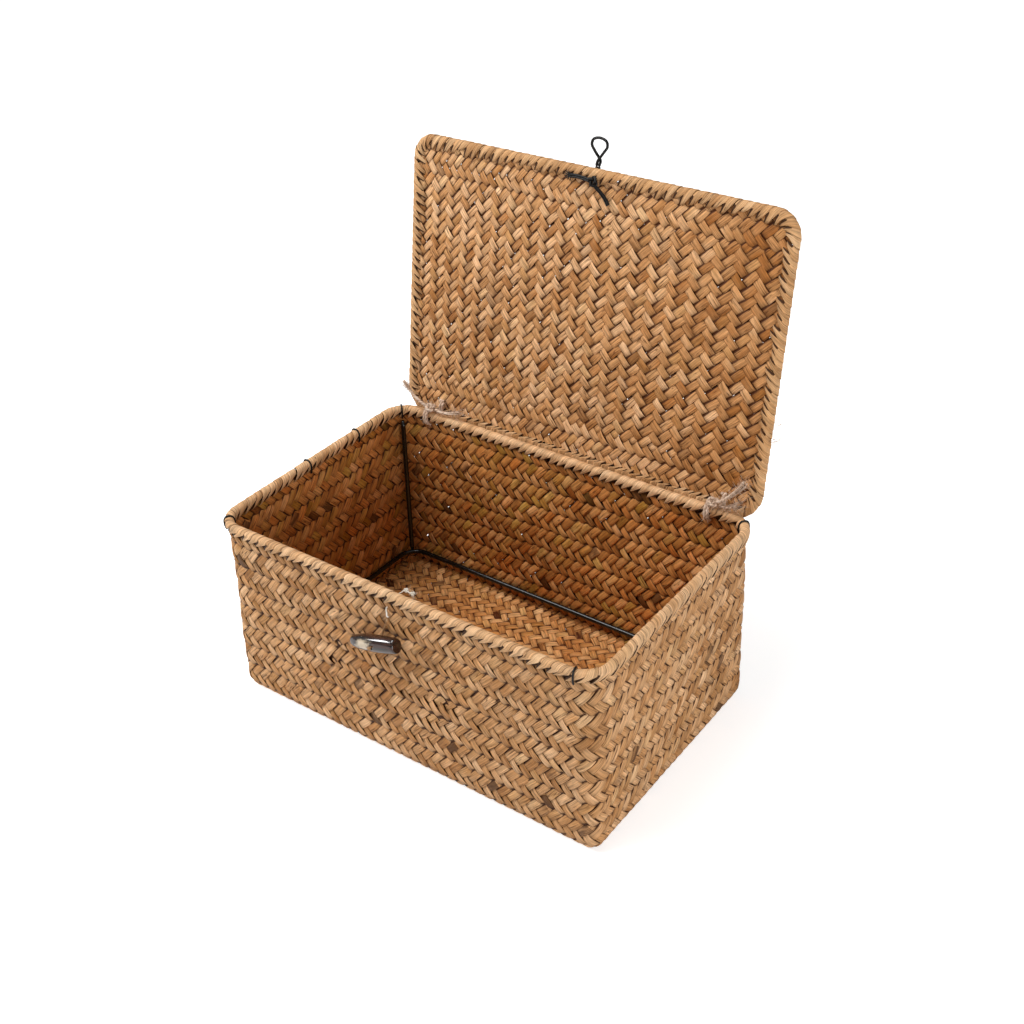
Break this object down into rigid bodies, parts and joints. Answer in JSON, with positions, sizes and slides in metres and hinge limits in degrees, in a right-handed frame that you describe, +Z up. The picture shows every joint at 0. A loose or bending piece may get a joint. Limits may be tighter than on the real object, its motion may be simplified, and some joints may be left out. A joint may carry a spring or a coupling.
{
  "type": "woven lidded box",
  "caption": "Rectangular woven seagrass box on a wire frame, with a flat lid tied on by twine at the back and a cord loop that closes over a horn toggle on the front.",
  "frame": {"origin": "on the standing surface, under the middle of the box", "axes": "+X to the right along the front, +Y towards the hinge at the back, +Z up; the lid stands open at rest"},
  "size_m": [0.3088, 0.2545, 0.3609],
  "materials": {
    "straw": "flat seagrass strips in 2/2 twill, matt with a slight natural sheen",
    "lid_straw": "flat seagrass strips in 2/2 twill, matt with a slight natural sheen",
    "binding": "folded seagrass strips wound slantwise over the edge",
    "wire": "round wire with glossy black paint",
    "jute": "hairy jute twine",
    "black_cord": "waxed black cord",
    "thread": "off-white cotton thread",
    "horn": "polished dark horn with a pale marbled patch"
  },
  "bodies": {
    "box": {"basket_shell": "straw", "rim_binding": "binding", "rim_wire": "wire", "base_wire": "wire", "corner_post_front_right": "wire", "corner_post_back_right": "wire", "corner_post_back_left": "wire", "corner_post_front_left": "wire", "corner_tie_front_right": "black_cord", "corner_tie_back_right": "black_cord", "corner_tie_back_left": "black_cord", "corner_tie_front_left": "black_cord", "left_rim_tie_1": "black_cord", "left_rim_tie_2": "black_cord", "hinge_left_rim_turns": "jute", "hinge_right_rim_turns": "jute", "toggle_stitch": "thread", "toggle_thread_ends": "thread"},
    "lid": {"lid_panel": "lid_straw", "lid_binding": "binding", "lid_wire": "wire", "hinge_left_lid_turns": "jute", "hinge_right_lid_turns": "jute", "closure_lead_left": "black_cord", "closure_lead_right": "black_cord", "closure_knot": "black_cord", "closure_left_end": "black_cord", "closure_right_end": "black_cord"},
    "closure_loop": {"closure_loop": "black_cord"},
    "left_tie": {"hinge_left_knot": "jute", "hinge_left_outer_tail": "jute", "hinge_left_inner_tail": "jute"},
    "right_tie": {"hinge_right_knot": "jute", "hinge_right_outer_tail": "jute", "hinge_right_inner_tail": "jute"},
    "toggle_cord": {"toggle_hanger": "black_cord", "toggle_hanger_knot": "black_cord"},
    "toggle": {"toggle": "horn"}
  },
  "joints": [
    {"name": "lid_hinge", "type": "hinge", "parent": "box", "child": "lid", "pos_m": [0, 0.09895, 0.14361], "axis": [1, 0, 0], "range_deg": [0, 98]},
    {"name": "left_tie_roll", "type": "hinge", "parent": "box", "child": "left_tie", "pos_m": [-0.119, 0.096, 0.141], "axis": [1, 0, 0], "range_deg": [0, 78.4]},
    {"name": "right_tie_roll", "type": "hinge", "parent": "box", "child": "right_tie", "pos_m": [0.1195, 0.096, 0.141], "axis": [1, 0, 0], "range_deg": [0, 78.4]},
    {"name": "loop_bend", "type": "hinge", "parent": "lid", "child": "closure_loop", "pos_m": [0, 0.13854, 0.34228], "axis": [1, 0, 0], "range_deg": [0, 90]},
    {"name": "toggle_swing", "type": "hinge", "parent": "box", "child": "toggle_cord", "pos_m": [-0.0025, -0.09829, 0.12295], "axis": [-1, 0, 0], "range_deg": [0, 45]},
    {"name": "toggle_turn", "type": "hinge", "parent": "toggle_cord", "child": "toggle", "pos_m": [-0.0085, -0.10484, 0.1055], "axis": [0, 1, 0], "range_deg": [-60, 75]}
  ],
  "couplings": [
    {"joint": "left_tie_roll", "follows": "lid_hinge", "ratio": 0.8},
    {"joint": "right_tie_roll", "follows": "lid_hinge", "ratio": 0.8}
  ]
}
